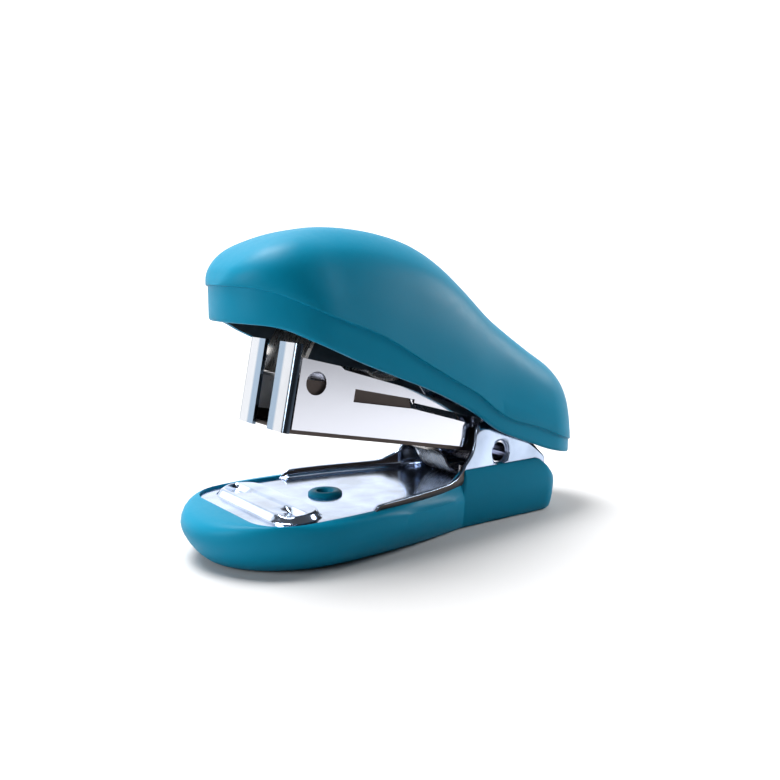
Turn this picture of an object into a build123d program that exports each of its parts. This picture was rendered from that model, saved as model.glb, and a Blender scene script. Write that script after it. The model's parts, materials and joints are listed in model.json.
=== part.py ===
"""Mini stapler: a base with a clinch plate, a hinged magazine, a lift-up housing and a pressing handle.

Frame: X runs from the nose (-X) to the tail (+X), Y is across, Z is up. The origin is on the table,
under the middle of the stapler's bounding box. The magazine, housing and handle are drawn in a second,
tilted frame that starts at the bottom front of the nose, because they stand pitched up at rest.
"""
from build123d import *
from math import asin, cos, degrees, radians, sin, tan
import os

os.makedirs("parts", exist_ok=True)

# ---------------------------------------------------------------- driving dimensions (mm)
length = 78.6            # base tip to cover tail
height = 51.9            # table to the crown of the top cover
steel = 0.8              # clinch plate sheet
thin = 0.6               # magazine, housing and blade sheet
fit = 0.05               # radial running clearance on the hinge pin
slack = 0.15             # clearance of a part laid in its seat

# hinge of the three moving frames, and the tilted magazine frame
hinge_x = 16.4
hinge_z = 12.6
pitch = 11.31            # magazine, nose up, at rest (degrees)
reach = 43.93            # nose to hinge, along the magazine
rise = 0.56              # hinge above the magazine's bottom face
pin_r = 2.2
pin_bore_r = 1.75
spacer_r = 2.9
spacer_half = 5.6

# base
bowl_x = -19.5           # where the base is widest
bowl_long = 19.8         # from there to the tip
bowl_half = 16.6
block_front = 7.5        # start of the straight rear block
block_rear = 32.0
block_half = 10.2
block_corner = 4.0
rim_top = 8.2
block_top = 10.6
bilge_up = 5.0           # the underside slopes in below this height
bilge_in = 3.4
block_in = 0.7

# clinch plate
plate_top = 7.7
plate_bottom = plate_top - steel
plate_front = -33.0
plate_half = 14.5
plate_corner = 6.5
ear_y = 8.9              # outer face of the hinge ears
ear_front = 10.3
plate_rear = 27.5
flange_top = 9.0
anvil_x = -25.7
anvil_long = 25.0
anvil_wide = 8.0
anvil_up = 1.2
stakes_x = (-14.7, 22.8)  # plastic posts that hold the plate
stake_r = 2.0
stake_head_r = 2.9

# magazine (tilted frame)
nose_half = 7.75         # outer half width of nose and housing
nose_tall = 13.8
nose_gap = 2.4           # half of the slit between the two front plates
channel_out = 7.1        # outer half width of the staple channel
channel_in = channel_out - thin
channel_wall = 8.6
staple_half = 6.45
strip_start = 2.45
strip_end = 10.4
rod_z = 3.5
rod_r = 0.9
rod_front = 2.6
pusher_front = 10.5
pusher_long = 5.0
spring_seat = 34.0

# housing (tilted frame)
house_front = 1.3
house_rear = 37.2
house_hole = (4.43, 8.19)
house_hole_r = 1.84
slot_front = 11.8

# handle (tilted frame)
frame_half = 8.0
frame_steel = 0.7
blade_r = reach - 0.95   # the driver blade is curved about the hinge
blade_half = 6.3
blade_low = 8.75         # driver edge above the nose's bottom at rest
blade_high = 21.9

# top cover
cover_x = -20.5          # where the cover is widest
cover_long = 13.4
cover_half = 13.6
tail_x = 27.3
tail_half = 12.0
wall = 1.4
band_step = 0.35         # the lower band stands in by this much

# ---------------------------------------------------------------- frames
cos_p, sin_p = cos(radians(pitch)), sin(radians(pitch))
nose_x = hinge_x - reach * cos_p - rise * sin_p
nose_z = hinge_z + reach * sin_p - rise * cos_p
mag_side = Plane(origin=(nose_x, 0, nose_z), x_dir=(cos_p, 0, -sin_p), z_dir=(0, -1, 0))
mag_plan = Plane(origin=(nose_x, 0, nose_z), x_dir=(cos_p, 0, -sin_p), z_dir=(sin_p, 0, cos_p))
mag_front = Plane(origin=(nose_x, 0, nose_z), x_dir=(0, 1, 0), z_dir=(cos_p, 0, -sin_p))
hinge = (reach, rise)


def save(part, name):
    """Label a finished piece and write its STEP file."""
    part.label = name
    export_step(part, f"parts/{name}.step")


def slab(half, mode=Mode.ADD):
    """Extrude the pending side profile to the same distance on both sides of the middle plane."""
    extrude(amount=half, both=True, mode=mode)


# ---------------------------------------------------------------- outlines seen from above
def base_outline(front_in=0.0, rear_in=0.0):
    """Outline of the base: a half ellipse that curves in to a straight block.

    The two arguments draw it in at the bowl and at the block.
    """
    half, side, rear = bowl_half - front_in, block_half - rear_in, block_rear - rear_in
    with BuildSketch() as outline:
        with BuildLine():
            EllipticalCenterArc((bowl_x, 0), bowl_long - front_in, half, start_angle=90, arc_size=90)
            TangentArc((bowl_x, half), (block_front, side), tangent=(1, 0))
            Polyline((block_front, side), (rear, side), (rear, 0))
            mirror(about=Plane.XZ)
        make_face()
        fillet(outline.vertices().group_by(Axis.X)[-1], block_corner - rear_in / 2)
    return outline.sketch


def plate_outline(grow=0.0):
    """Clinch plate: blunt rounded front, sides curving in to the hinge ears."""
    with BuildSketch() as outline:
        with BuildLine():
            shoulder_x = plate_front + plate_corner
            Line((plate_front, 0), (plate_front, plate_half - plate_corner))
            RadiusArc((plate_front, plate_half - plate_corner), (shoulder_x, plate_half), plate_corner)
            Line((shoulder_x, plate_half), (bowl_x - 2, plate_half))
            TangentArc((bowl_x - 2, plate_half), (block_front + 0.5, ear_y), tangent=(1, 0))
            Polyline((block_front + 0.5, ear_y), (plate_rear, ear_y), (plate_rear, 0))
            mirror(about=Plane.XZ)
        make_face()
        if grow:
            offset(amount=grow)
    return outline.sketch


def cover_outline(inset=0.0):
    """Top cover: elliptical nose, sides drawing in slightly, round tail."""
    half, tail = cover_half - inset, tail_half - inset
    with BuildSketch() as outline:
        with BuildLine():
            EllipticalCenterArc((cover_x, 0), cover_long - inset, half, start_angle=90, arc_size=90)
            TangentArc((cover_x, half), (tail_x, tail), tangent=(1, 0))
            RadiusArc((tail_x, tail), (tail_x + tail, 0), tail)
            mirror(about=Plane.XZ)
        make_face()
    return outline.sketch


# ---------------------------------------------------------------- base cover
rib_pitch = 7.0
rib = 1.2
floor = 1.6
with BuildPart() as base_cover:
    # the underside is drawn in under the bowl and stays nearly full width under the block
    with BuildSketch():
        add(base_outline(bilge_in, block_in))
    with BuildSketch(Plane.XY.offset(bilge_up)):
        add(base_outline())
    loft()
    with BuildSketch(Plane.XY.offset(bilge_up)):
        add(base_outline())
    extrude(amount=block_top - bilge_up)
    with BuildSketch(Plane.XZ):
        with BuildLine():
            ramp = block_top - rim_top
            Polyline((-60, 30), (-60, rim_top), (block_front - 5, rim_top))
            TangentArc((block_front - 5, rim_top), (block_front, block_top), tangent=(1, 0))
            Polyline((block_front, block_top), (25.2, block_top), (30.8, 6.2), (60, 6.2), (60, 30),
                     (-60, 30))
        make_face()
    slab(30, Mode.SUBTRACT)
    fillet(base_cover.faces().sort_by(Axis.Z)[0].edges(), 0.8)
    with BuildSketch(Plane.XY.offset(plate_bottom)):
        add(plate_outline(slack))
    extrude(amount=10, mode=Mode.SUBTRACT)
    # pockets between moulded ribs, open under the plate
    with BuildSketch(Plane.XY.offset(floor)):
        add(plate_outline(-2.2))
        with GridLocations(rib_pitch, 1, 11, 1):
            Rectangle(rib, 40, mode=Mode.SUBTRACT)
        with GridLocations(1, rib_pitch, 1, 3):
            Rectangle(90, rib, mode=Mode.SUBTRACT)
        with Locations(*[(x, 0) for x in stakes_x]):
            Circle(stake_r + 1, mode=Mode.SUBTRACT)
    extrude(amount=plate_bottom - floor, mode=Mode.SUBTRACT)
    # posts that pass through the plate and are flared over it
    for x in stakes_x:
        with BuildSketch(Plane.XY.offset(plate_bottom)):
            with Locations((x, 0)):
                Circle(stake_r)
        extrude(amount=steel)
        with BuildSketch(Plane.XY.offset(plate_top)):
            with Locations((x, 0)):
                Circle(stake_head_r)
        extrude(amount=0.8)
        with BuildSketch(Plane.XY.offset(plate_top - 1.5)):
            with Locations((x, 0)):
                Circle(1.2)
        extrude(amount=3, mode=Mode.SUBTRACT)
save(base_cover.part, "base_cover")

# ---------------------------------------------------------------- clinch plate
trough_long = 9.0
trough_wide = 3.2
trough_deep = 0.8
trough_apart = 12.8      # between the middles of the two troughs
ears_top = 18.6
with BuildPart() as base_plate:
    # side flanges and hinge ears, as a band along the plate's edge cut to its side view
    with BuildSketch(Plane.XY.offset(plate_bottom)):
        add(plate_outline())
        add(plate_outline(-steel), mode=Mode.SUBTRACT)
        with Locations((plate_rear, 0)):
            Rectangle(6, 2 * (ear_y - steel), mode=Mode.SUBTRACT)
    extrude(amount=14)
    with BuildSketch(Plane.XZ) as ear:
        with BuildLine():
            Polyline((-15.5, 0), (-15.5, plate_top), (-13.5, flange_top), (3.5, flange_top))
            TangentArc((3.5, flange_top), (ear_front, 14.2), tangent=(1, 0))
            Polyline((ear_front, 14.2), (ear_front, ears_top), (18.6, ears_top), (plate_rear, 10.4),
                     (plate_rear, 0), (-15.5, 0))
        make_face()
        fillet(ear.vertices().group_by(Axis.Y)[-1], 2.0)
    slab(30, Mode.INTERSECT)
    with BuildSketch(Plane.XY.offset(plate_bottom)):
        add(plate_outline())
        with Locations(*[(x, 0) for x in stakes_x]):
            Circle(stake_r + 0.1, mode=Mode.SUBTRACT)
        with Locations((hinge_x, 0)):
            Circle(0.82, mode=Mode.SUBTRACT)
    extrude(amount=steel)
    # raised anvil with its two clinch troughs
    with BuildSketch(Plane.XY.offset(plate_top)):
        with Locations((anvil_x, 0)):
            SlotOverall(anvil_long, anvil_wide, rotation=90)
    extrude(amount=anvil_up)
    anvil_top = plate_top + anvil_up
    level = base_plate.faces().filter_by(Plane.XY)
    fillet(level.filter_by_position(Axis.Z, anvil_top - 0.05, anvil_top + 0.05).edges(), 0.6)
    with BuildSketch(Plane.XY.offset(anvil_top)):
        with GridLocations(1, trough_apart, 1, 2):
            with Locations((anvil_x, 0)):
                SlotOverall(trough_long, trough_wide, rotation=90)
    extrude(amount=-trough_deep, mode=Mode.SUBTRACT)
    with BuildSketch(Plane.XZ):
        with Locations((hinge_x, hinge_z)):
            Circle(pin_r)
    slab(30, Mode.SUBTRACT)
save(base_plate.part, "base_plate")

# ---------------------------------------------------------------- hinge pin, a tube pressed in the ears
with BuildPart() as hinge_pin:
    with BuildSketch(Plane.XZ):
        with Locations((hinge_x, hinge_z)):
            Circle(pin_r)
            Circle(pin_bore_r, mode=Mode.SUBTRACT)
    slab(ear_y)
save(hinge_pin.part, "hinge_pin")

# ---------------------------------------------------------------- spacer tube between the housing's arms
with BuildPart() as hinge_spacer:
    with BuildSketch(Plane.XZ):
        with Locations((hinge_x, hinge_z)):
            Circle(spacer_r)
            Circle(pin_r + fit, mode=Mode.SUBTRACT)
    slab(spacer_half)
save(hinge_spacer.part, "hinge_spacer")

# ---------------------------------------------------------------- staple channel with the two nose plates
eye_r = 3.6
eye_end = 33.5
wall_end = 23.0          # the channel's walls step down to the hinge arms here
arm_top = 4.4
nose_deep = 1.0
nose_round = 0.9
floor_front = 2.3
floor_rear = 36.0
with BuildPart() as staple_channel:
    with BuildSketch(mag_side):
        with BuildLine():
            Polyline((thin, 0), (reach, 0), (reach, rise + eye_r), (eye_end, rise + eye_r),
                     (wall_end + 2, arm_top), (wall_end, channel_wall - 0.35), (8, channel_wall),
                     (thin, channel_wall), (thin, 0))
        make_face()
        with Locations(hinge):
            Circle(eye_r)
    slab(channel_out)
    with BuildSketch(mag_side):
        with BuildLine():
            # the floor is open in front for the driven staple, and ends before the hinge
            Polyline((thin, -5), (floor_front, -5), (floor_front, thin), (floor_rear, thin),
                     (floor_rear, -5), (60, -5), (60, 30), (0, 30), (thin, -5))
        make_face()
    slab(channel_in, Mode.SUBTRACT)
    # nose plates: the front corners are bent round to the full width of the housing
    with BuildSketch(mag_plan) as nose:
        with Locations((nose_deep / 2, 0)):
            Rectangle(nose_deep, 2 * nose_half)
        fillet(nose.vertices().group_by(Axis.X)[0], nose_round)
        with Locations((nose_deep / 2 + thin, 0)):
            Rectangle(nose_deep, 2 * channel_in, mode=Mode.SUBTRACT)
        Rectangle(4, 2 * nose_gap, mode=Mode.SUBTRACT)
    extrude(amount=nose_tall)
    with BuildSketch(mag_side):
        with Locations(hinge):
            Circle(pin_r + fit)
    slab(20, Mode.SUBTRACT)
save(staple_channel.part, "staple_channel")

# ---------------------------------------------------------------- housing: lifts off the channel for loading
house_in = nose_half - thin
arm_out = channel_in - 0.15
with BuildPart() as housing:
    with BuildSketch(mag_side) as cheek:
        with BuildLine():
            Polyline((house_front, 0.7), (house_rear, 0.7), (house_rear, 4.9), (24, 6.2), (slot_front, 6.07),
                     (slot_front, 8.17), (24, 7.8), (24, 7.2), (38.9, 6.03), (36.6, 7.4), (20.5, 9.7),
                     (9.2, 10.9), (8.4, 11.4), (house_front, 11.8), (house_front, 0.7))
        make_face()
        fillet(cheek.vertices().filter_by_position(Axis.X, 30, 40).sort_by(Axis.Y)[0], 1.2)
        with Locations(house_hole):
            Circle(house_hole_r, mode=Mode.SUBTRACT)
    slab(nose_half)
    with BuildSketch(mag_side):
        with Locations((20, 10)):
            Rectangle(60, 30)
    slab(house_in, Mode.SUBTRACT)
    # roof between the cheeks
    with BuildSketch(mag_side):
        with BuildLine():
            Polyline((9.2, 10.9), (20.5, 9.7), (36.6, 7.4), (36.6, 7.4 - thin), (20.5, 9.7 - thin),
                     (9.2, 10.9 - thin), (9.2, 10.9))
        make_face()
    slab(house_in + 0.1)
    # two arms bent down from the roof to the hinge, inside the channel
    with BuildSketch(mag_side):
        with BuildLine():
            Polyline((34.2, 7.6), (36.6, 7.3), (reach + 2.6, 2.6), (reach - 1.6, rise - 2.5), (34.2, 7.1),
                     (34.2, 7.6))
        make_face()
        with Locations(hinge):
            Circle(spacer_r)
            Circle(pin_r + fit, mode=Mode.SUBTRACT)
    slab(arm_out)
    with BuildSketch(mag_side):
        with Locations((reach - 3.5, 0)):
            Rectangle(13.9, 30)
    slab(arm_out - thin, Mode.SUBTRACT)
save(housing.part, "housing")

# ---------------------------------------------------------------- pusher, its rod, spring and rear seat
with BuildPart() as rod_seat:
    with BuildSketch(mag_front.offset(spring_seat)) as seat:
        with Locations((0, 2.95)):
            Rectangle(2 * channel_in, 4.6)
        with Locations((0, rod_z)):
            Circle(rod_r, mode=Mode.SUBTRACT)
    extrude(amount=thin)
save(rod_seat.part, "rod_seat")

washer_steel = 0.3
rod_end = spring_seat + thin + washer_steel
with BuildPart() as guide_rod:
    with BuildSketch(mag_front.offset(rod_front)):
        with Locations((0, rod_z)):
            Circle(rod_r)
    extrude(amount=rod_end - rod_front)
    # riveted end, over the washer
    with BuildSketch(mag_front.offset(rod_end)):
        with Locations((0, rod_z)):
            Circle(rod_r + 0.5)
    extrude(amount=0.5)
save(guide_rod.part, "guide_rod")

with BuildPart() as rod_washer:
    with BuildSketch(mag_front.offset(spring_seat + thin)):
        with Locations((0, rod_z)):
            Circle(rod_r + 1.1)
            Circle(rod_r, mode=Mode.SUBTRACT)
    extrude(amount=washer_steel)
save(rod_washer.part, "rod_washer")

pusher_low = 0.8
pusher_top = 7.9
with BuildPart() as pusher:
    with BuildSketch(mag_front.offset(pusher_front)) as block:
        with Locations((0, (pusher_low + pusher_top) / 2)):
            Rectangle(2 * staple_half - 0.3, pusher_top - pusher_low)
        fillet(block.vertices(), 0.5)
        with Locations((0, rod_z)):
            Circle(rod_r + fit, mode=Mode.SUBTRACT)
    extrude(amount=pusher_long)
save(pusher.part, "pusher")

coil_r = 1.75
coil_wire = 0.2
coil_turns = 15
coil_front = pusher_front + pusher_long + coil_wire + 0.05
coil_long = spring_seat - coil_front - coil_wire - 0.05
with BuildPart() as pusher_spring:
    with BuildLine():
        coil = Helix(pitch=coil_long / coil_turns, height=coil_long, radius=coil_r,
                     center=mag_side.from_local_coords((coil_front, rod_z, 0)), direction=mag_front.z_dir)
    with BuildSketch(Plane(origin=coil @ 0, z_dir=coil % 0)):
        Circle(coil_wire)
    sweep(path=coil, is_frenet=True)
save(pusher_spring.part, "pusher_spring")

staple_wire = 0.5
leg_thick = 0.7
staple_pitch = 0.52
score = (0.08, 0.16)
crown_z = 8.5            # top of the staples' crowns
leg_z = 2.5
with BuildPart() as staple_strip:
    with BuildSketch(mag_front.offset(strip_start)):
        with Locations((0, (crown_z + leg_z) / 2)):
            Rectangle(2 * staple_half, crown_z - leg_z)
        with Locations((0, (crown_z + leg_z) / 2 - staple_wire)):
            Rectangle(2 * (staple_half - leg_thick), crown_z - leg_z, mode=Mode.SUBTRACT)
    extrude(amount=strip_end - strip_start)
    # score lines between the glued staples
    staples = int((strip_end - strip_start) / staple_pitch)
    with BuildSketch(mag_side):
        for i in range(1, staples):
            with Locations((strip_start + i * staple_pitch, crown_z)):
                Rectangle(*score)
    slab(staple_half, Mode.SUBTRACT)
save(staple_strip.part, "staple_strip")

# ---------------------------------------------------------------- handle frame
frame_slope = 0.302
plate_tilt = degrees(asin(frame_slope / (1 + frame_slope ** 2) ** 0.5))
front_top = (5.6, 23.3)
post_along = (12.0, 25.0)
post_r = 2.0
post_head_r = 2.9


def frame_top(x):
    """Height of the handle frame's top face at a distance along the magazine."""
    return front_top[1] - frame_slope * (x - front_top[0])


def on_frame(x, lift=0.0):
    """Plane lying on the handle frame's top plate."""
    tilt = mag_side.location * Location((x, frame_top(x), 0))
    base = Plane(tilt)
    level = Plane(origin=base.origin, x_dir=base.x_dir, z_dir=base.y_dir)
    return level.rotated((0, plate_tilt, 0)).offset(lift)


with BuildPart() as handle_frame:
    with BuildSketch(mag_side):
        with BuildLine():
            Polyline(front_top, (38, frame_top(38)), (46.4, 8.6), (reach + 3.7, rise + 1.4),
                     (reach - 3.6, rise - 1.5), (39.9, 7.0), (36.3, 10.2), (front_top[0], 20.0), front_top)
        make_face()
        with Locations(hinge):
            Circle(4.0)
    slab(frame_half)
    with BuildSketch(mag_side):
        with BuildLine():
            under = 0.74
            Polyline((-5, frame_top(-5) - under), (37.8, frame_top(37.8) - under), (45.8, 8.0), (60, -2),
                     (60, -9), (-5, -9), (-5, frame_top(-5) - under))
        make_face()
    slab(frame_half - frame_steel, Mode.SUBTRACT)
    # lip that carries the driver blade
    with BuildSketch(mag_side):
        with Locations(hinge):
            Circle(blade_r - thin)
            Circle(blade_r - thin - frame_steel, mode=Mode.SUBTRACT)
        with Locations((5, 21)):
            Rectangle(12, 4.0, mode=Mode.INTERSECT)
    slab(blade_half)
    with BuildSketch(mag_side):
        with Locations(hinge):
            Circle(pin_r + fit)
    slab(20, Mode.SUBTRACT)
    for x in post_along:
        with BuildSketch(on_frame(x)):
            Circle(post_r + 0.1)
        extrude(amount=1.5, both=True, mode=Mode.SUBTRACT)

# ---------------------------------------------------------------- driver blade, curved about the hinge
with BuildPart() as driver_blade:
    with BuildSketch(mag_side):
        with Locations(hinge):
            Circle(blade_r)
            Circle(blade_r - thin, mode=Mode.SUBTRACT)
        with Locations((0, (blade_low + blade_high) / 2)):
            Rectangle(30, blade_high - blade_low, mode=Mode.INTERSECT)
    slab(blade_half)

# ---------------------------------------------------------------- rivets through the blade and its lip
rivet_r = 0.8
rivet_tilt = 28.3        # their angle above the magazine, seen from the hinge
rivet_y = 3.6


def radial(distance, y):
    """Plane facing forward along a ray from the hinge through the middle of the lip."""
    ray = radians(rivet_tilt)
    spot, ahead = [mag_side.from_local_coords((reach - far * cos(ray), rise + far * sin(ray), -y))
                   for far in (distance, distance + 1)]
    return Plane(origin=spot, x_dir=(0, 1, 0), z_dir=ahead - spot)


lip_r = blade_r - thin - frame_steel
rivet_head = 0.5
rivet_sag = 0.03         # keeps a flat head clear of the lip's hollow side
with BuildPart() as blade_rivets:
    for y in (-rivet_y, rivet_y):
        inner = lip_r - rivet_sag
        for distance, radius, long in ((inner - rivet_head, rivet_r + 0.5, rivet_head),
                                       (inner, rivet_r, blade_r - inner),
                                       (blade_r, rivet_r + 0.5, rivet_head)):
            with BuildSketch(radial(distance, y)):
                Circle(radius)
            extrude(amount=long)
save(blade_rivets.part, "blade_rivets")

with BuildPart() as rivet_holes:
    for y in (-rivet_y, rivet_y):
        with BuildSketch(radial(lip_r - 1, y)):
            Circle(rivet_r + 0.02)
        extrude(amount=4)
for piece in (handle_frame, driver_blade):
    with piece:
        add(rivet_holes.part, mode=Mode.SUBTRACT)
save(driver_blade.part, "driver_blade")

# ---------------------------------------------------------------- leaf springs
leaf = 0.4
leaf_half = 4.0


leaf_rivet_r = 0.8
leaf_rivet_at = 32.6
leaf_drop = 0.98         # frame's top face to the middle of the leaf, at its fixed end
with BuildPart() as press_spring:
    with BuildSketch(mag_side):
        with BuildLine():
            rear, front = 34.4, 30.8
            Line((rear, frame_top(rear) - leaf_drop), (front, frame_top(front) - leaf_drop))
            Spline((front, frame_top(front) - leaf_drop), (25.6, 12.4), (21.5, 10.45), (18.2, 10.35),
                   (16.2, 11.2), tangents=((-1, frame_slope), (-1, 0.6)))
        trace(line_width=leaf)
    slab(leaf_half)
    with BuildSketch(on_frame(leaf_rivet_at)):
        Circle(leaf_rivet_r + 0.03)
    extrude(amount=3, both=True, mode=Mode.SUBTRACT)
save(press_spring.part, "press_spring")

with handle_frame:
    with BuildSketch(on_frame(leaf_rivet_at)):
        Circle(leaf_rivet_r + 0.03)
    extrude(amount=2, both=True, mode=Mode.SUBTRACT)
save(handle_frame.part, "handle_frame")

with BuildPart() as press_spring_rivet:
    shank = frame_steel + leaf + 0.08
    for lift, radius, long in ((0.02, leaf_rivet_r + 0.6, 0.5), (0.02 - shank, leaf_rivet_r, shank),
                               (0.02 - shank - 0.4, leaf_rivet_r + 0.6, 0.4)):
        with BuildSketch(on_frame(leaf_rivet_at, lift)):
            Circle(radius)
        extrude(amount=long)
save(press_spring_rivet.part, "press_spring_rivet")

lift_foot = plate_top + leaf / 2 + 0.02
with BuildPart() as lift_spring:
    with BuildSketch(Plane.XZ):
        with BuildLine():
            Line((hinge_x + 2.6, lift_foot), (hinge_x - 3, lift_foot))
            TangentArc((hinge_x - 3, lift_foot), (hinge_x - 8, 11.0), tangent=(-1, 0))
            TangentArc((hinge_x - 8, 11.0), (hinge_x - 12.5, 13.9), tangent=(-0.42, 0.91))
        trace(line_width=leaf)
    slab(leaf_half)
    with BuildSketch(Plane.XY):
        with Locations((hinge_x, 0)):
            Circle(0.85)
    extrude(amount=20, mode=Mode.SUBTRACT)
save(lift_spring.part, "lift_spring")

with BuildPart() as spring_rivet:
    for z, radius, long in ((plate_bottom, 0.8, steel + leaf + 0.1),
                            (lift_foot + leaf / 2 + 0.02, 1.4, 0.5)):
        with BuildSketch(Plane.XY.offset(z)):
            with Locations((hinge_x, 0)):
                Circle(radius)
        extrude(amount=long)
save(spring_rivet.part, "spring_rivet")

# ---------------------------------------------------------------- top cover
crown = ((-34.4, 47.2), (-29.5, 49.4), (-24.5, 50.9), (-17.4, height), (-11.7, height - 0.1), (-5.7, 51.3),
         (0, 49.8), (5.1, 47.2), (10.5, 43.2), (16.8, 37.3), (24.6, 31.6), (31.2, 27.6), (36.0, 24.3),
         (40, 21.5))
step_line = ((-36, 43.2), (-31, 42.6), (-21.8, 38.8), (-12.1, 35.2), (-4.2, 30.9), (1.8, 27.6), (8.1, 24.3),
             (12.5, 21.2), (16.5, 19.1), (23.9, 16.8), (30.5, 14.3), (41, 11.2))
hem = ((-36, 37.6), (-28.5, 36.8), (-23.5, 34.6), (-14.5, 30.6), (-2.5, 25.9), (4, 22.9), (8.5, 20.5),
       (13.5, 17.3), (18.5, 15.2), (23.5, 13.4), (28.5, 11.7), (40, 9.0))


def between(lower, upper, drop=0.0, sink=0.0):
    """Side view between two edges of the cover: the lower one sunk, the upper one dropped."""
    with BuildSketch(Plane.XZ) as region:
        with BuildLine():
            low = Spline(*[(x, z - sink) for x, z in lower])
            high = Spline(*[(x, z - drop) for x, z in upper])
            Line(low @ 0, high @ 0)
            Line(low @ 1, high @ 1)
        make_face()
    return region.sketch


def hood(inset, lower, upper, drop=0.0, sink=0.0, rounding=0.0):
    """The cover's outline from above, cut to a side view, with the crown's edge rounded."""
    with BuildPart() as solid:
        with BuildSketch():
            add(cover_outline(inset))
        extrude(amount=60)
        with BuildSketch(Plane.XZ):
            add(between(lower, upper, drop, sink))
        slab(30, Mode.INTERSECT)
        if rounding:
            roof = solid.faces().filter_by(lambda face: face.normal_at().Z > 0.4).sort_by(SortBy.AREA)[-1]
            fillet(roof.edges(), rounding)
    return solid.part


crown_round = 5.5
with BuildPart() as hollow:
    add(hood(wall + band_step, hem, crown, drop=wall, sink=12, rounding=crown_round - wall))
    # posts that hold the handle frame stay solid inside the hollow
    for x in post_along:
        with BuildSketch(on_frame(x)):
            Circle(post_r + 0.8)
        extrude(amount=40, mode=Mode.SUBTRACT)
with BuildPart() as upper_shell:
    add(hood(0, step_line, crown, rounding=crown_round))
    add(hollow.part, mode=Mode.SUBTRACT)
with BuildPart() as lower_band:
    add(hood(band_step, hem, step_line))
    add(hollow.part, mode=Mode.SUBTRACT)
with BuildPart() as top_cover:
    add(upper_shell.part)
    add(lower_band.part)
    # each post passes through the frame's top plate and is flared under it
    for x in post_along:
        with BuildSketch(on_frame(x, -frame_steel - 0.04)):
            Circle(post_r)
        extrude(amount=frame_steel + 0.5)
        with BuildSketch(on_frame(x, -frame_steel - 0.04)):
            Circle(post_head_r)
        extrude(amount=-0.8)
save(top_cover.part, "top_cover")
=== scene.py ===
"""Look of the mini stapler: soft teal plastic over bright chromed steel, on a pale studio floor."""
import json
import math

import bmesh
import bpy
import numpy as np
from mathutils import Matrix, Vector


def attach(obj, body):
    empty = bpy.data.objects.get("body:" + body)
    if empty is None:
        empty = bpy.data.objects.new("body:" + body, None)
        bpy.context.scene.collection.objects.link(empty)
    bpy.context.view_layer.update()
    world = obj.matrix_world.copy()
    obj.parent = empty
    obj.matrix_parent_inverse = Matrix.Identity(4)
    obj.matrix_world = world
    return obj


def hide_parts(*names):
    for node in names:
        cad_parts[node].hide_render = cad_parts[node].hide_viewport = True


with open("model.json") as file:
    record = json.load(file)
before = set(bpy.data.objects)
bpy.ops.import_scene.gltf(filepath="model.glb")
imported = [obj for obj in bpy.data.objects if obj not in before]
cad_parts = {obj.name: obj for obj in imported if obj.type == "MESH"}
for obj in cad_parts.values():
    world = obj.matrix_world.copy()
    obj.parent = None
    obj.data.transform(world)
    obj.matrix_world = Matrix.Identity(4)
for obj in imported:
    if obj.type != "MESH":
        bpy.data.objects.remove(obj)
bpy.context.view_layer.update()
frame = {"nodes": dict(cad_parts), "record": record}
MM = 0.001
record = frame["record"]
slot_of = {row["node"]: row["material_slot"] for row in record["subparts"]}


# ---------------------------------------------------------------- materials
def material(name, color, roughness, metallic=0.0):
    """A new material and its nodes, with the constant values on the shader's own sockets."""
    made = bpy.data.materials.new(name)
    made.use_nodes = True
    tree = made.node_tree
    shader = tree.nodes["Principled BSDF"]
    shader.inputs["Base Color"].default_value = (*color, 1)
    shader.inputs["Roughness"].default_value = roughness
    shader.inputs["Metallic"].default_value = metallic
    return made, tree, shader


def noise(tree, scale, detail=4, stretch=None):
    """Noise in object coordinates (metres), stretched along an axis if asked."""
    place = tree.nodes.new("ShaderNodeTexCoord")
    pattern = tree.nodes.new("ShaderNodeTexNoise")
    pattern.inputs["Scale"].default_value = scale
    pattern.inputs["Detail"].default_value = detail
    if stretch:
        mapping = tree.nodes.new("ShaderNodeMapping")
        mapping.inputs["Scale"].default_value = stretch
        tree.links.new(place.outputs["Object"], mapping.inputs["Vector"])
        tree.links.new(mapping.outputs["Vector"], pattern.inputs["Vector"])
    else:
        tree.links.new(place.outputs["Object"], pattern.inputs["Vector"])
    return pattern.outputs["Fac"]


def spread(tree, value, low, high, start=0.0, end=1.0):
    """Map a pattern, from 0 to 1 unless told otherwise, to a range."""
    scaled = tree.nodes.new("ShaderNodeMapRange")
    scaled.inputs["From Min"].default_value = start
    scaled.inputs["From Max"].default_value = end
    scaled.inputs["To Min"].default_value = low
    scaled.inputs["To Max"].default_value = high
    tree.links.new(value, scaled.inputs["Value"])
    return scaled.outputs["Result"]


def bump(tree, shader, value, depth_mm, strength):
    """Raise the surface by a pattern."""
    raised = tree.nodes.new("ShaderNodeBump")
    raised.inputs["Strength"].default_value = strength
    raised.inputs["Distance"].default_value = depth_mm * MM
    tree.links.new(value, raised.inputs["Height"])
    tree.links.new(raised.outputs["Normal"], shader.inputs["Normal"])


def teal_plastic():
    """Soft satin plastic with a fine grain."""
    made, tree, shader = material("teal_plastic", (0.0, 0.18, 0.30), 0.42)
    shader.inputs["Specular IOR Level"].default_value = 0.09
    tree.links.new(spread(tree, noise(tree, 900), 0.36, 0.5), shader.inputs["Roughness"])
    bump(tree, shader, noise(tree, 5200, 2), 0.02, 0.35)
    return made


def chrome():
    """Bright plating, a little uneven."""
    made, tree, shader = material("chrome", (0.83, 0.85, 0.93), 0.07, 1.0)
    tree.links.new(spread(tree, noise(tree, 700, 6), 0.05, 0.13), shader.inputs["Roughness"])
    bump(tree, shader, noise(tree, 160, 3), 0.05, 0.25)
    return made


def spring_steel():
    """Rolled steel, brushed along the strip."""
    made, tree, shader = material("spring_steel", (0.52, 0.50, 0.48), 0.25, 1.0)
    tree.links.new(spread(tree, noise(tree, 400, 6, (1, 12, 1)), 0.18, 0.36), shader.inputs["Roughness"])
    return made


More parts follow.
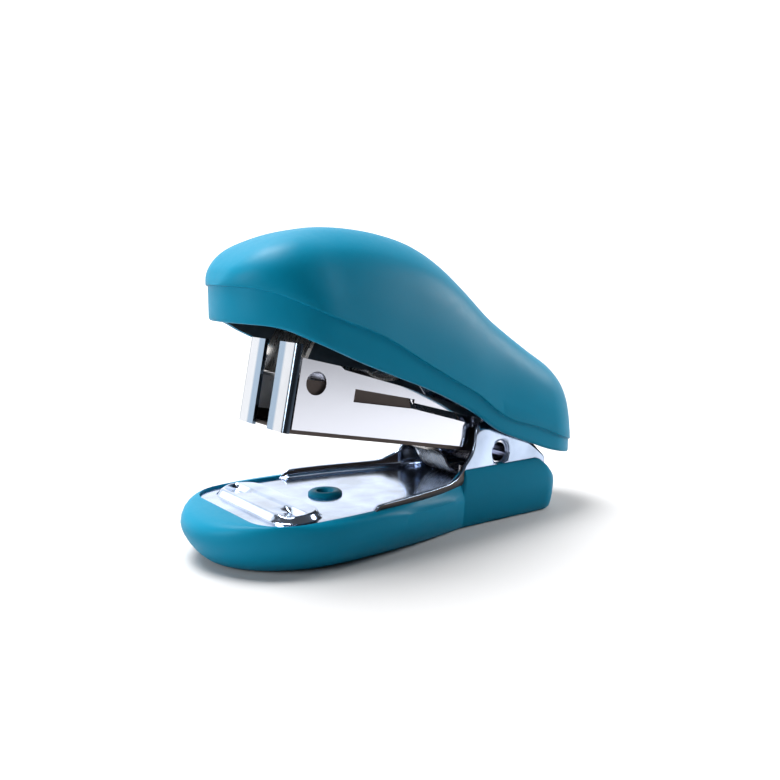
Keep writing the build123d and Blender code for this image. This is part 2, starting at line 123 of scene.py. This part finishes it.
def staple_steel():
    """Galvanised wire."""
    made, tree, shader = material("staple_steel", (0.86, 0.87, 0.9), 0.3, 0.7)
    tree.links.new(spread(tree, noise(tree, 1200, 4), 0.22, 0.4), shader.inputs["Roughness"])
    return made


def dark_plastic():
    """Plain black plastic of the pusher."""
    made, tree, shader = material("dark_plastic", (0.02, 0.02, 0.022), 0.45)
    tree.links.new(spread(tree, noise(tree, 900), 0.38, 0.55), shader.inputs["Roughness"])
    return made


def shaded_plastic():
    """Inside of the cover: the same plastic, rougher, with its shade painted in as a very dark colour."""
    made, tree, shader = material("teal_plastic_painted_shade", (0.001, 0.012, 0.02), 0.7)
    tree.links.new(spread(tree, noise(tree, 700), 0.6, 0.8), shader.inputs["Roughness"])
    return made


def painted_shade_steel():
    """Dark brownish steel that stands in for shade: painted shade on the channel's walls and the flanges' outer
    sides.
    """
    made, tree, shader = material("painted_shade_steel", (0.085, 0.07, 0.065), 0.4, 1.0)
    tree.links.new(spread(tree, noise(tree, 500, 6, (1, 10, 1)), 0.3, 0.5), shader.inputs["Roughness"])
    return made


def bands(tree, value, stops):
    """Blend between colours at the given places of a 0 to 1 value."""
    ramped = tree.nodes.new("ShaderNodeValToRGB")
    stages = ramped.color_ramp.elements
    stages[0].position, stages[1].position = stops[0][0], stops[-1][0]
    for place, _ in stops[1:-1]:
        stages.new(place)
    for stage, (place, color) in zip(stages, stops):
        stage.color = (*color, 1)
    tree.links.new(value, ramped.inputs["Fac"])
    return ramped.outputs["Color"]


def plate_chrome():
    """Duller, cloudy chrome of the clinch plate."""
    dull, clear = (0.40, 0.48, 0.62), (0.62, 0.74, 0.95)
    made, tree, shader = material("plate_chrome", clear, 0.14, 1.0)
    cloud = bands(tree, noise(tree, 120, 5), ((0.35, dull), (0.65, clear)))
    tree.links.new(cloud, shader.inputs["Base Color"])
    tree.links.new(spread(tree, noise(tree, 600, 6), 0.09, 0.2), shader.inputs["Roughness"])
    bump(tree, shader, noise(tree, 140, 3), 0.06, 0.3)
    return made


def nose_chrome_painted_reflections():
    """Chrome of the bent nose plates, with painted reflections: bluish and pale bands from the slit to a dark
    outer bend.
    """
    slit_edge, plate_edge = 2.4 * MM, 7.75 * MM
    blue, pale, deep, darkest = (0.14, 0.19, 0.25), (0.33, 0.34, 0.36), (0.12, 0.16, 0.21), (0.06, 0.08, 0.11)
    made, tree, shader = material("nose_chrome_painted_reflections", pale, 0.12, 1.0)
    place = tree.nodes.new("ShaderNodeTexCoord")
    split = tree.nodes.new("ShaderNodeSeparateXYZ")
    from_middle = tree.nodes.new("ShaderNodeMath")
    from_middle.operation = "ABSOLUTE"
    tree.links.new(place.outputs["Object"], split.inputs["Vector"])
    tree.links.new(split.outputs["Y"], from_middle.inputs[0])
    across = spread(tree, from_middle.outputs["Value"], 0, 1, slit_edge, plate_edge)
    # painted reflections: a blue band by the slit, a pale band, then darker bands to the outer bend
    stops = ((0, blue), (0.3, blue), (0.42, pale), (0.8, pale), (0.92, deep), (1, darkest))
    tree.links.new(bands(tree, across, stops), shader.inputs["Base Color"])
    tree.links.new(spread(tree, noise(tree, 500, 5), 0.08, 0.16), shader.inputs["Roughness"])
    return made


# the record's material slots, then the extra finishes that some faces take, among them painted shade and
# painted reflections
finish = {make.__name__: make() for make in (teal_plastic, chrome, spring_steel, staple_steel, dark_plastic,
                                             shaded_plastic, painted_shade_steel, plate_chrome, nose_chrome_painted_reflections)}


def dress(obj, slot):
    """Give a piece the material of the record's slot it comes from."""
    if obj.data.materials:
        obj.data.materials[0] = finish[slot]
    else:
        obj.data.materials.append(finish[slot])


for node, obj in frame["nodes"].items():
    dress(obj, slot_of[node])


def soften(obj, width):
    """Round the edges of a CAD piece a little."""
    weld = obj.modifiers.new("weld", "WELD")
    weld.merge_threshold = 1e-6
    edge = obj.modifiers.new("edge", "BEVEL")
    edge.width = width * MM
    edge.segments = 3
    edge.limit_method = "ANGLE"
    edge.angle_limit = math.radians(40)
    edge.harden_normals = True


for node in ("housing", "handle_frame"):
    soften(frame["nodes"][node], 0.12)


# the magazine's tilted frame: its pitch, the hinge, and how far that is behind and above the nose (millimetres)
pitch = math.radians(11.31)
hinge_x, hinge_z = 16.4, 12.6
reach, rise = 43.93, 0.56


def behind_nose(point):
    """Distance of a point (metres) behind the magazine's nose, along the magazine."""
    arm = point / MM - Vector((hinge_x, 0, hinge_z))
    return reach + arm.x * math.cos(pitch) - arm.z * math.sin(pitch)


def channel_finish():
    """The channel's nose takes the chrome with painted reflection bands; its walls take the brownish steel of
    painted shade.
    """
    nose_deep = 1.05
    mesh = frame["nodes"]["staple_channel"].data
    mesh.materials[0] = finish["nose_chrome_painted_reflections"]
    mesh.materials.append(finish["painted_shade_steel"])
    for face in mesh.polygons:
        # faces behind the nose take the painted shade
        face.material_index = int(behind_nose(face.center) > nose_deep)


channel_finish()

# ---------------------------------------------------------------- curves and meshes (millimetres)
def through(points, between=24):
    """A smooth curve through the points, sampled densely."""
    known = np.array(points, float)
    known = np.vstack([2 * known[0] - known[1], known, 2 * known[-1] - known[-2]])
    t = np.linspace(0, 1, between, endpoint=False)[:, None]
    runs = []
    for a, b, c, d in zip(known, known[1:], known[2:], known[3:]):
        runs.append(0.5 * (2 * b + (c - a) * t + (2 * a - 5 * b + 4 * c - d) * t ** 2
                           + (3 * b - 3 * c + d - a) * t ** 3))
    return np.vstack(runs + [known[-2:-1]])


def at(curve, x):
    """Height of a curve at one or more x."""
    return np.interp(x, curve[:, 0], curve[:, 1])


def rounded(points, rounds=3):
    """Cut the corners of an open outline again and again, keeping its two ends."""
    path = np.array(points, float)
    for _ in range(rounds):
        near = 0.75 * path[:-1] + 0.25 * path[1:]
        far = 0.25 * path[:-1] + 0.75 * path[1:]
        path = np.vstack([path[:1], np.stack([near, far], 1).reshape(-1, path.shape[1])[1:-1], path[-1:]])
    return path


def ramp(x, low, high):
    """0 below low, 1 above high, smooth between."""
    t = np.clip((np.asarray(x, float) - low) / (high - low), 0, 1)
    return t * t * (3 - 2 * t)


def stack(rows):
    """Rows of points, each an (n, 3) array, as one grid."""
    return np.array(rows, float)


def grid_mesh(name, grid, mirrored=False, caps=False, sharp=35, second_from=None):
    """A smooth mesh over a grid of points, mirrored across the middle plane and capped if asked.

    Faces from one column of the grid onwards can take the piece's second material.
    """
    shape = bmesh.new()
    sides = (1, -1) if mirrored else (1,)
    for side in sides:
        corners = [[shape.verts.new((x * MM, y * side * MM, z * MM)) for x, y, z in row] for row in grid]
        for row, following in zip(corners, corners[1:]):
            for column, (a, b, c, d) in enumerate(zip(row, row[1:], following[1:], following)):
                face = shape.faces.new((a, b, c, d))
                face.material_index = int(second_from is not None and column >= second_from)
    bmesh.ops.remove_doubles(shape, verts=shape.verts, dist=2e-6)
    bmesh.ops.dissolve_degenerate(shape, dist=1e-6, edges=shape.edges)
    if caps:
        open_edges = [edge for edge in shape.edges if edge.is_boundary]
        bmesh.ops.holes_fill(shape, edges=open_edges)
    bmesh.ops.recalc_face_normals(shape, faces=shape.faces)
    mesh = bpy.data.meshes.new(name)
    shape.to_mesh(mesh)
    shape.free()
    for face in mesh.polygons:
        face.use_smooth = True
    mesh.set_sharp_from_angle(angle=math.radians(sharp))
    obj = bpy.data.objects.new(name, mesh)
    bpy.context.collection.objects.link(obj)
    return obj


def turned(name, profile, x, y=0.0, steps=64):
    """A turned piece: a closed profile of (radius, height) swept round an upright axis."""
    angles = np.linspace(0, 2 * math.pi, steps + 1)
    closed = list(profile) + [profile[0]]
    rows = [[(x + r * math.cos(a), y + r * math.sin(a), z) for r, z in closed] for a in angles]
    return grid_mesh(name, stack(rows))


def show(obj, body, slot, *stands_for):
    """Give a made piece its material, its body and the CAD nodes it is shown instead of."""
    dress(obj, slot)
    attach(obj, body)
    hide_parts(*stands_for)


# ---------------------------------------------------------------- top cover
cover_x, cover_long, cover_half = -20.5, 13.4, 13.6
side_bow = 714.8         # radius of the gently drawn-in sides
tail_start, tail_center, tail_r = 28.07, 27.26, 11.976
wall = 1.75
crown = through([(-33.9, 42.9), (-33.5, 44.1), (-32.5, 45.8), (-29.7, 48.1), (-26.3, 49.8), (-22.2, 51.1),
                 (-17.0, 51.85), (-11.7, 51.85), (-5.7, 51.1), (0, 49.6), (5.2, 47.0), (10.5, 43.0),
                 (16.8, 37.2), (24.6, 31.4), (31.2, 27.3), (35.4, 23.9), (37.8, 19.9), (38.9, 15.9),
                 (39.24, 12.0)])
step_line = through([(-34.5, 43.1), (-29.5, 42.2), (-21.8, 38.8), (-12.1, 35.2), (-4.2, 30.9), (1.8, 27.6),
                     (8.1, 24.3), (12.5, 21.2), (16.5, 19.1), (23.9, 16.8), (30.5, 14.3), (40, 11.5)])
hem = through([(-34.5, 37.5), (-28.5, 36.8), (-23.5, 34.6), (-14.5, 30.6), (-2.5, 25.9), (4, 22.9),
               (8.5, 20.5), (13.5, 17.3), (18.5, 15.2), (23.5, 13.4), (28.5, 11.7), (40, 9.0)])


def cover_plan(inset):
    """Distance along and half width of the cover's outline, from the tip to the tail."""
    turn = np.linspace(0, math.pi / 2, 40)
    lean = math.asin((tail_start - tail_center) / tail_r)
    tail_turn = np.linspace(lean, math.pi / 2, 36)
    straight = np.linspace(cover_x, tail_center + (tail_r - inset) * math.sin(lean), 70)[1:-1]
    drop = side_bow - np.sqrt(side_bow ** 2 - (straight - cover_x) ** 2)
    x = np.concatenate([cover_x - (cover_long - inset) * np.cos(turn), straight,
                        tail_center + (tail_r - inset) * np.sin(tail_turn)])
    half = np.concatenate([(cover_half - inset) * np.sin(turn), cover_half - inset - drop,
                           (tail_r - inset) * np.cos(tail_turn)])
    return x, half


def hood_section(x):
    """Cross-section of the hood as shares of its half width and height: domed, shouldered, domed again."""
    dome = np.array([(0, 1), (0.35, 1.0), (0.70, 0.94), (0.92, 0.66), (1, 0.32), (1, 0)])
    shouldered = np.array([(0, 1), (0.28, 0.985), (0.56, 0.87), (0.76, 0.70), (0.91, 0.34), (1, 0)])
    full = np.array([(0, 1), (0.3, 1.0), (0.62, 0.95), (0.85, 0.70), (0.96, 0.34), (1, 0)])
    front, rear = ramp(x, -32, -17), ramp(x, 8, 30)
    return rounded(dome * (1 - front) + (shouldered * (1 - rear) + full * rear) * front, 3)


def hood_rows(inset, drop):
    """Points of the hood, crown to edge, at each place along the cover."""
    top = crown
    if drop:
        along = np.gradient(crown, axis=0)
        along /= np.linalg.norm(along, axis=1)[:, None]
        top = crown + drop * np.stack([along[:, 1], -along[:, 0]], 1)
        top = top[np.argsort(top[:, 0])]
    rows = []
    for x, half in zip(*cover_plan(inset)):
        edge = at(step_line, x)
        peak = max(at(top, x), edge)
        rows.append([(x, half * v, edge + (peak - edge) * q) for v, q in hood_section(x)])
    return stack(rows)


def ring_rows(levels, plan):
    """Columns of points down a wall: each level is an inset, a curve and a height above that curve."""
    columns = []
    for inset, curve, lift in levels:
        x, half = plan(inset)
        columns.append(np.stack([x, half, at(curve, x) + lift], 1))
    return np.stack(columns, 1)


def make_cover():
    """The hood, a fine step down to the lower band, the rounded hem, and the inside with painted shade."""
    band = 0.35          # the lower band stands in by this much
    lip = [(0.05, step_line, -0.12), (0.17, step_line, -0.18), (band, step_line, -0.18),
           (band, step_line, -0.5)]
    bottom = [(band, hem, 2.5), (band, hem, 0.6), (band + 0.05, hem, 0.25), (band + 0.2, hem, 0.06),
              (band + 0.45, hem, 0), (wall - 0.4, hem, 0), (wall - 0.1, hem, 0.1), (wall, hem, 0.35),
              (wall, step_line, -0.6)]
    outside = hood_rows(0, 0)
    inside = hood_rows(wall, wall)[:, ::-1]
    rim = ring_rows(lip + bottom, cover_plan)
    cover = grid_mesh("cover_shell", np.concatenate([outside, rim, inside], 1), True,
                      second_from=outside.shape[1] + rim.shape[1] - 3)
    show(cover, "handle", "teal_plastic", "top_cover")
    # the inside faces take a very dark copy of the plastic: painted shade
    cover.data.materials.append(finish["shaded_plastic"])


def make_posts():
    """Plastic posts under the cover, each flared under the handle frame's top plate."""
    frame_slope, frame_front, frame_height = 0.302, 5.6, 23.3
    side = [(0.01, -0.74), (0.01, -1.54), (2.5, -1.5), (2.9, -1.2), (2.8, -0.8), (2.0, -0.74), (2.0, 0.4),
            (2.8, 0.5), (2.8, 4.0), (0.01, 4.0)]
    for number, back in enumerate((12.0, 25.0)):
        up = frame_height - frame_slope * (back - frame_front)
        x = hinge_x + (back - reach) * math.cos(pitch) + (up - rise) * math.sin(pitch)
        z = hinge_z - (back - reach) * math.sin(pitch) + (up - rise) * math.cos(pitch)
        post = turned(f"cover_post_{number}", side, 0)
        tilt = Matrix.Rotation(pitch + math.atan(frame_slope), 4, "Y")
        post.data.transform(Matrix.Translation(Vector((x, 0, z)) * MM) @ tilt)
        show(post, "handle", "teal_plastic", "top_cover")


make_cover()
make_posts()

# ---------------------------------------------------------------- base
bowl_x, bowl_long, bowl_half = -19.5, 19.8, 16.6
block_front, block_rear, block_half, block_corner = 7.5, 32.0, 10.2, 4.0
plate_front, plate_half, plate_corner, ear_y, plate_rear = -33.0, 14.5, 6.5, 8.9, 27.5
plate_top = 7.7
sheet = 0.8
bowl_steps = 48          # places round the bowl, and the same number round the recess
corner_steps = 9         # round a rear corner of the block
edge_steps = 11          # along half of the rear edge
side_places = np.concatenate([np.linspace(bowl_x, block_front - 0.5, 60)[1:],
                              block_front + np.array([-0.25, 0, 0.25]),
                              np.linspace(block_front + 0.6, block_rear - block_corner, 30)])


def bow(x, start, end, start_half, end_half):
    """Half width of a side that leaves start straight back and bends in to end along an arc."""
    run, fall = end - start, start_half - end_half
    radius = (run ** 2 + fall ** 2) / (2 * fall)
    return start_half - (radius - np.sqrt(radius ** 2 - np.clip(x - start, 0, run) ** 2))


def base_plan(front_in, rear_in):
    """Outline of the base, tip to the middle of its rear edge, drawn in at the bowl and at the block."""
    turn = np.linspace(0, math.pi / 2, bowl_steps)
    half = bow(side_places, bowl_x, block_front, bowl_half - front_in, block_half - rear_in)
    corner = block_corner - rear_in / 2
    swing = np.linspace(0, math.pi / 2, corner_steps + 1)[1:]
    rear, side = block_rear - rear_in, block_half - rear_in
    last = np.clip(side_places, None, rear - corner)
    edge = np.linspace(side - corner, 0, edge_steps + 1)[1:]
    x = np.concatenate([bowl_x - (bowl_long - front_in) * np.cos(turn), last,
                        rear - corner + corner * np.sin(swing), np.full(len(edge), rear)])
    y = np.concatenate([(bowl_half - front_in) * np.sin(turn), half,
                        side - corner + corner * np.cos(swing), edge])
    return x, y


def plate_half_at(x):
    """Half width of the clinch plate at a distance along it."""
    x = np.asarray(x, float)
    nose = plate_corner - np.clip(x - plate_front, 0, plate_corner)
    front = plate_half - plate_corner + np.sqrt(np.clip(plate_corner ** 2 - nose ** 2, 0, None))
    return np.where(x < plate_front + plate_corner, front,
                    bow(x, bowl_x - 2, block_front + 0.5, plate_half, ear_y))


def recess_plan(gap):
    """Edge of the recess round the plate, place by place beside base_plan."""
    blunt = np.array([(plate_front - gap, half) for half in np.linspace(0, plate_half - plate_corner, 14)])
    swing = np.linspace(0, math.pi / 2, 20)[1:]
    corner = np.stack([plate_front + plate_corner - (plate_corner + gap) * np.cos(swing),
                       plate_half - plate_corner + (plate_corner + gap) * np.sin(swing)], 1)
    front = np.vstack([blunt, corner, [(bowl_x, plate_half + gap)]])
    walked = np.concatenate([[0], np.cumsum(np.linalg.norm(np.diff(front, axis=0), axis=1))])
    share = np.linspace(0, walked[-1], bowl_steps)
    x = np.interp(share, walked, front[:, 0])
    y = np.interp(share, walked, front[:, 1])
    beside = np.clip(side_places, None, plate_rear + gap)
    rest = corner_steps + edge_steps
    return (np.concatenate([x, beside, np.full(rest, plate_rear + gap)]),
            np.concatenate([y, plate_half_at(beside) + gap, np.linspace(ear_y + gap, 0, rest + 1)[1:]]))


def rim_height(x):
    """Top of the base: low round the bowl, up to the block beside the hinge, cut down at the rear."""
    rise = 8.15 + 2.45 * ramp(x, 1.0, block_front + 0.6)
    cut = np.interp(x, (25.6, 31.3, 32), (10.6, 6.3, 5.9))
    return np.minimum(rise, cut)


def make_base():
    """The base cover, column by column from the underside up to the rim and down into the recess."""
    crease_path = through([(-40, 5.6), (-22, 6.6), (-12, 6.9), (0, 6.3), (12, 5.7), (33, 5.2)])
    underside = ((5.0, 1.3, 0), (4.2, 0.9, 0.12), (3.5, 0.62, 0.42), (2.7, 0.42, 1.05), (1.8, 0.26, 2.0),
                 (1.0, 0.14, 3.1), (0.4, 0.05, 4.2), (0.1, 0.0, 5.0))
    # shares of the way from the crease in and up to the recess: a soft rim, and a leaning wall
    upper = ((0.0, 0.0, 0, 0), (0.03, 0.35, 0.22, 0.10), (0.12, 0.66, 0.48, 0.28), (0.3, 0.87, 0.70, 0.55),
             (0.55, 0.97, 0.84, 0.82), (1, 1, 1, 1))
    columns = []
    for front_in, rear_in, z in underside:
        x, y = base_plan(front_in, rear_in)
        columns.append(np.stack([x, y, np.full(len(x), z)], 1))
    x, y = base_plan(0, 0)
    gap = 0.15
    inner_x, inner_y = recess_plan(gap)
    crease = at(crease_path, x)
    rim = rim_height(x)
    # beside the plate's flange the wall above the crease leans in, up to the block
    block = ramp(x, block_front - 0.3, block_front + 0.2)
    lean = ramp(x, -15, -3) * (1 - block)
    for soft_in, soft_up, lean_in, lean_up in upper:
        soft = soft_in * (1 - 0.72 * block * (soft_in < 1))
        way = soft * (1 - lean) + lean_in * lean
        up = soft_up * (1 - lean) + lean_up * lean
        mid_x = x + (inner_x - x) * way
        mid_y = y + (inner_y - y) * way
        top = rim_height(mid_x) if soft_in == 1 else rim
        columns.append(np.stack([mid_x, mid_y, crease + (top - crease) * up], 1))
    floor_z = plate_top - sheet - 0.1
    columns.append(np.stack([inner_x, inner_y, np.full(len(x), floor_z)], 1))
    shell = grid_mesh("base_shell", np.stack(columns, 1), True, caps=True, sharp=40)
    show(shell, "base", "teal_plastic", "base_cover")


def make_stakes():
    """Plastic posts flared over the plate, with a dimple in the middle."""
    flare = [(0.01, 6.2), (1.05, 6.2), (1.25, 7.9), (1.5, 8.35), (1.95, 8.5), (2.5, 8.4), (2.85, 8.1),
             (2.9, 7.72), (2.0, 7.72), (2.0, 6.0), (0.01, 6.0)]
    for number, x in enumerate((-14.7, 22.8)):
        show(turned(f"base_stake_{number}", flare, x), "base", "teal_plastic", "base_cover")


# ---------------------------------------------------------------- clinch plate
anvil_x, anvil_long, anvil_wide, anvil_up = -25.7, 25.4, 8.4, 1.15


def outside_anvil(x, y):
    """Distance outside (positive) or inside (negative) the anvil's round-ended outline."""
    straight = (anvil_long - anvil_wide) / 2
    return np.hypot(x - anvil_x, y - np.clip(y, -straight, straight)) - anvil_wide / 2


def emboss(x, y):
    """Height pressed into the plate: the raised anvil, with a fold along it that deepens into two troughs."""
    raised = anvil_up * (1 - ramp(outside_anvil(x, y), -0.9, 0.3))
    slope = np.interp(x - anvil_x, [-3.2, 0.1, 0.75], [0, 1, 0])
    deep = 0.22 + 0.78 * ramp(np.abs(y), 5.0, 8.2)
    return raised - slope * deep * (1 - ramp(np.abs(y), 10.6, 12.0))


def flange_top(x):
    """Top of the side flange and of the hinge ear, seen from the side."""
    edge = through([(-15.7, 7.7), (-15.2, 7.95), (-14.3, 8.7), (-13.3, 9.0), (-8, 9.05), (1, 9.05),
                    (4.5, 9.35), (7.5, 10.8), (9.6, 13.2), (10.4, 15.2)])
    ear = [(10.45, 15.6), (10.6, 17.2), (11.2, 18.2), (12.3, 18.6), (17.6, 18.6), (19.2, 18.0),
           (27.5, 10.4)]
    line = np.vstack([edge, ear])
    return np.interp(x, line[:, 0], line[:, 1], left=plate_top)


def plate_grid():
    """Points of the plate's top side: one row across it at each place along it, edge to edge."""
    # close together over the anvil and where the ears rise
    along = np.concatenate([np.linspace(plate_front, -30.8, 20), np.linspace(-30.7, -20.5, 130),
                            np.linspace(-20.2, -18, 10), np.linspace(-17.8, 9.5, 90),
                            np.linspace(9.6, 11.4, 16), np.linspace(11.7, plate_rear, 40)])
    across = np.linspace(-1, 1, 241)
    bend = 1.3
    rows = []
    for x in along:
        half = float(plate_half_at(x))
        tall = float(flange_top(x)) - plate_top
        r = min(bend, tall)
        side = [(half - r + r * math.sin(a), plate_top + r * (1 - math.cos(a)))
                for a in np.linspace(0, math.pi / 2, 9)[1:]]
        side += [(half, plate_top + r + (tall - r) * t) for t in np.linspace(0, 1, 7)[1:]]
        flat = [(x, (half - r) * v, plate_top) for v in across]
        rows.append([(x, -y, z) for y, z in reversed(side)] + flat + [(x, y, z) for y, z in side])
    grid = stack(rows)
    level = np.abs(grid[:, :, 2] - plate_top) < 0.01
    grid[:, :, 2] += emboss(grid[:, :, 0], grid[:, :, 1]) * level
    return grid


def thicken_and_bore(plate):
    """Give the plate its sheet thickness and cut the hole for the hinge pin through both ears."""
    pin_r, past_ears = 2.2, 20
    thick = plate.modifiers.new("sheet", "SOLIDIFY")
    thick.thickness = sheet * MM
    thick.offset = -1
    thick.use_even_offset = True
    bore = turned("bore", [(0.01, -past_ears), (pin_r, -past_ears), (pin_r, past_ears), (0.01, past_ears)], 0)
    bore.rotation_euler = (math.pi / 2, 0, 0)
    bore.location = (hinge_x * MM, 0, hinge_z * MM)
    cut = plate.modifiers.new("pin_holes", "BOOLEAN")
    cut.object = bore
    cut.solver = "EXACT"
    bpy.context.view_layer.update()
    finished = bpy.data.meshes.new_from_object(plate.evaluated_get(bpy.context.evaluated_depsgraph_get()))
    plate.modifiers.clear()
    plate.data = finished
    bpy.data.objects.remove(bore)


def make_plate():
    """The clinch plate with its flanges and hinge ears; the flanges' outer sides take painted shade in brownish
    steel.
    """
    plate = grid_mesh("clinch_plate", plate_grid(), sharp=60)
    thicken_and_bore(plate)
    show(plate, "base", "chrome", "base_plate")
    plate.data.materials[0] = finish["plate_chrome"]
    plate.data.materials.append(finish["painted_shade_steel"])
    # outer sides of the flanges below their top, ahead of the block: painted shade of the recess gap
    for face in plate.data.polygons:
        center = face.center / MM
        outer = abs(center.y) > float(plate_half_at(center.x)) - 0.1 and abs(face.normal.y) > 0.6
        if outer and center.x < block_front and center.z < flange_top(center.x) - 0.15:
            face.material_index = 1


make_base()
make_stakes()
make_plate()

# ---------------------------------------------------------------- camera, light and floor
view_from = Vector((-90.9, -122.8, 46.2)) * MM
view_to = Vector((-1.17, 0, 24.24)) * MM
camera_data = bpy.data.cameras.new("camera")
camera_data.lens = 40.62
camera_data.sensor_width = 36
camera_data.clip_start = 0.01
camera = bpy.data.objects.new("camera", camera_data)
camera.location = view_from
camera.rotation_euler = (view_to - view_from).to_track_quat("-Z", "Y").to_euler()
bpy.context.collection.objects.link(camera)
bpy.context.scene.camera = camera


def softbox(name, place, aim, wide, high, power):
    """A rectangular soft light aimed at a point (metres, watts)."""
    data = bpy.data.lights.new(name, "AREA")
    data.shape = "RECTANGLE"
    data.size = wide
    data.size_y = high
    data.energy = power
    lamp = bpy.data.objects.new(name, data)
    lamp.location = place
    lamp.rotation_euler = (Vector(aim) - Vector(place)).to_track_quat("-Z", "Y").to_euler()
    bpy.context.collection.objects.link(lamp)


middle = (0, 0, 0.03)
softbox("top_light", (-0.08, 0.14, 0.42), middle, 0.25, 0.25, 4.1)
softbox("front_light", (-0.40, 0.04, 0.16), middle, 0.15, 0.2, 1.0)
softbox("tail_light", (0.15, -0.05, 0.09), (0.03, 0, 0.02), 0.05, 0.05, 0.2)
softbox("left_card", (-0.33, 0.44, 0.13), middle, 0.35, 0.35, 0.5)


def world_light():
    """A faint even light from all round."""
    world = bpy.data.worlds.new("studio")
    world.use_nodes = True
    sky = world.node_tree.nodes["Background"]
    sky.inputs["Color"].default_value = (1, 1, 1, 1)
    sky.inputs["Strength"].default_value = 0.12
    bpy.context.scene.world = world


world_light()


def floor():
    """A pale sheet that lies under the stapler and curves up behind it (metres)."""
    front, depth, bend, top, half_width = -2.0, 0.75, 0.25, 1.6, 2.5
    profile = [(front, 0.0)] + [(depth + bend * math.sin(a), bend * (1 - math.cos(a)))
                                for a in np.linspace(0, math.pi / 2, 24)] + [(depth + bend, top)]
    away = Vector((0.59, 0.807))
    side = Vector((away.y, -away.x))
    rows = []
    for across in (-half_width, half_width):
        rows.append([((away.x * d + side.x * across) / MM, (away.y * d + side.y * across) / MM, z / MM)
                     for d, z in profile])
    obj = grid_mesh("floor", stack(rows), sharp=60)
    made, tree, shader = material("floor_paper", (0.5, 0.5, 0.505), 0.7)
    tree.links.new(spread(tree, noise(tree, 60, 3), 0.62, 0.78), shader.inputs["Roughness"])
    # the far part glows a little, as a lit backdrop does
    place = tree.nodes.new("ShaderNodeTexCoord")
    distance = tree.nodes.new("ShaderNodeVectorMath")
    distance.operation = "DOT_PRODUCT"
    distance.inputs[1].default_value = away.to_3d()
    tree.links.new(place.outputs["Object"], distance.inputs[0])
    shader.inputs["Emission Color"].default_value = (1, 1, 1, 1)
    glow = spread(tree, distance.outputs["Value"], 0, 1, 0.05, 0.5)
    tree.links.new(glow, shader.inputs["Emission Strength"])
    obj.data.materials.append(made)


floor()
bpy.context.scene.view_settings.view_transform = "Standard"
